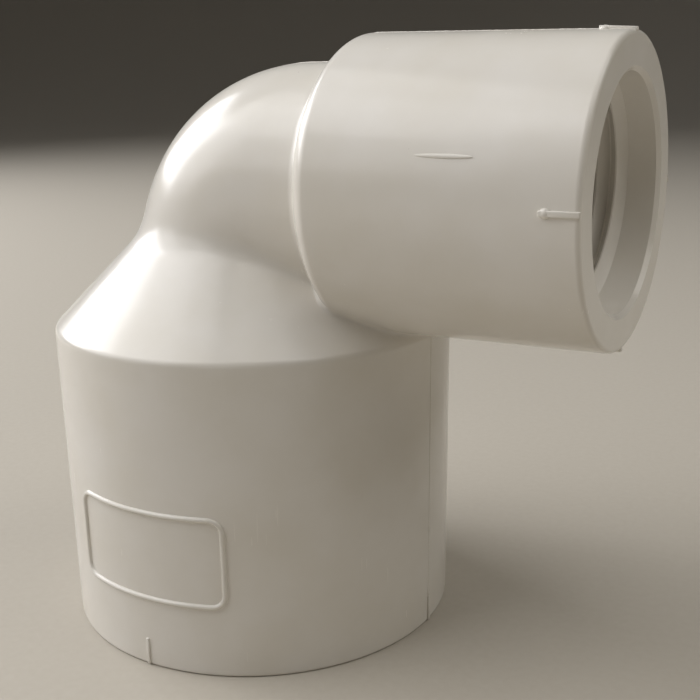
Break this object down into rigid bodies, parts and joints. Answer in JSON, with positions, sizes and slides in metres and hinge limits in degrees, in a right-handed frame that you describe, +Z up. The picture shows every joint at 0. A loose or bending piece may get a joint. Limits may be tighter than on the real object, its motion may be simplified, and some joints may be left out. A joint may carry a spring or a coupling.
{
  "type": "reducing pipe elbow",
  "caption": "White plastic 90 degree reducing elbow: a round slip socket below, a coned shoulder and bend, and a smaller female-threaded hub to the side.",
  "frame": {"origin": "on the plane the socket's rim stands on, under the middle of the fitting's box; the socket's own axis is 9.5 mm towards -X of it", "axes": "+Z up along the slip socket's axis, +X out of the threaded hub's mouth, +Y to complete a right-handed frame"},
  "size_m": [0.061, 0.0421, 0.0604],
  "materials": {
    "white_pvc": "satin-gloss, as moulded"
  },
  "bodies": {
    "root": {"slip_socket": "white_pvc", "reducing_shoulder": "white_pvc", "elbow_bend": "white_pvc", "threaded_hub": "white_pvc", "female_thread": "white_pvc", "mouth_rib_top": "white_pvc", "mouth_rib_back": "white_pvc", "mouth_rib_bottom": "white_pvc", "mouth_rib_front": "white_pvc", "socket_tick_outlet": "white_pvc", "socket_tick_back": "white_pvc", "socket_tick_heel": "white_pvc", "socket_tick_front": "white_pvc", "label_border": "white_pvc", "gate_scar": "white_pvc", "parting_line_heel": "white_pvc", "parting_line_outlet": "white_pvc"}
  },
  "joints": []
}
